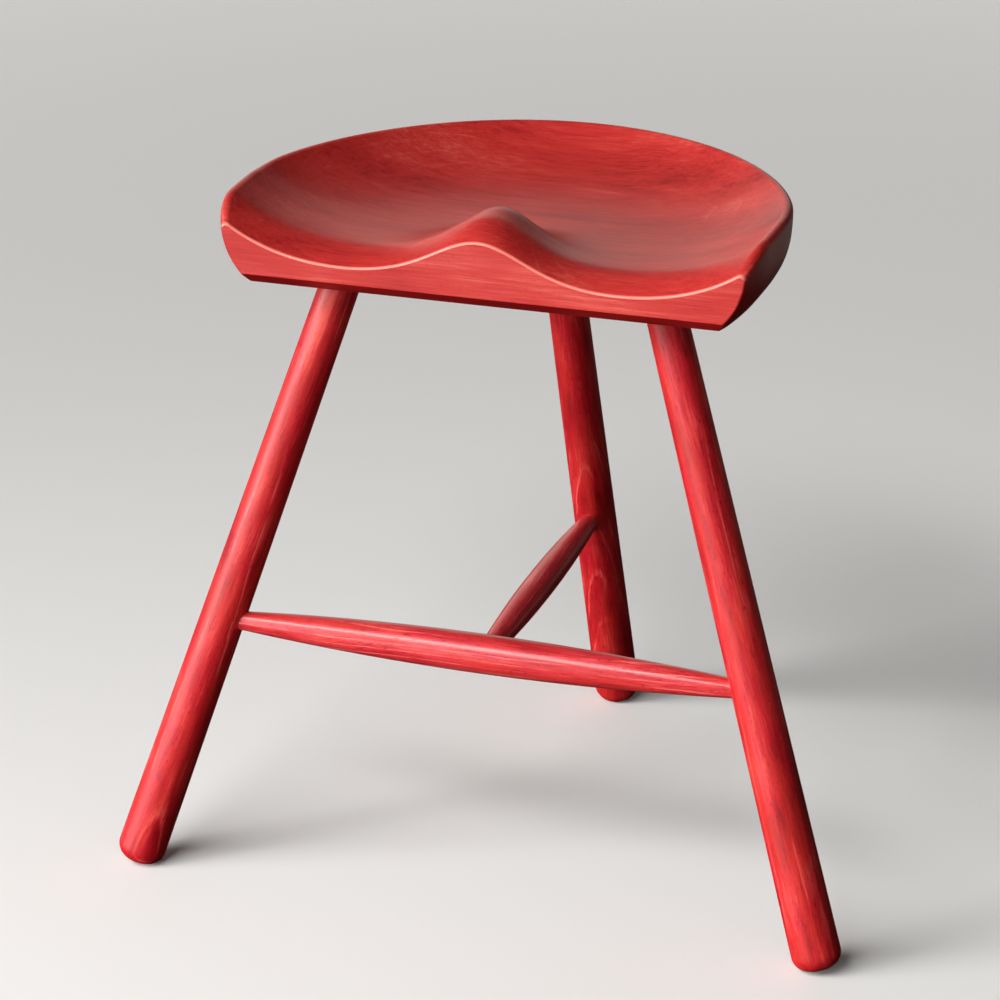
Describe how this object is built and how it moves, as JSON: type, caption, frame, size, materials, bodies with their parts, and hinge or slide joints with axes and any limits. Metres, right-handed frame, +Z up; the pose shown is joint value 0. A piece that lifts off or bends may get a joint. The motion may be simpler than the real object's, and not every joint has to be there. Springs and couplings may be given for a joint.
{
  "type": "saddle stool",
  "caption": "Low wooden stool with a carved saddle seat, splayed tapered legs and cigar-shaped stretchers in a T.",
  "frame": {"origin": "on the floor, under the middle of the stool's overall box", "axes": "+Z up, the straight front of the seat with the pommel faces -Y, the rear leg is at +Y, +X is to the right of someone looking at the front"},
  "size_m": [0.5214, 0.3938, 0.4886],
  "materials": {
    "seat_wood": "translucent red stain under a satin clear coat",
    "leg_wood": "translucent red stain under a satin clear coat"
  },
  "bodies": {
    "root": {"seat_stave_1": "seat_wood", "seat_stave_2": "seat_wood", "seat_stave_3": "seat_wood", "seat_stave_4": "seat_wood", "leg_front_left": "leg_wood", "leg_front_right": "leg_wood", "leg_rear": "leg_wood", "stretcher_front": "leg_wood", "stretcher_rear": "leg_wood"}
  },
  "joints": []
}
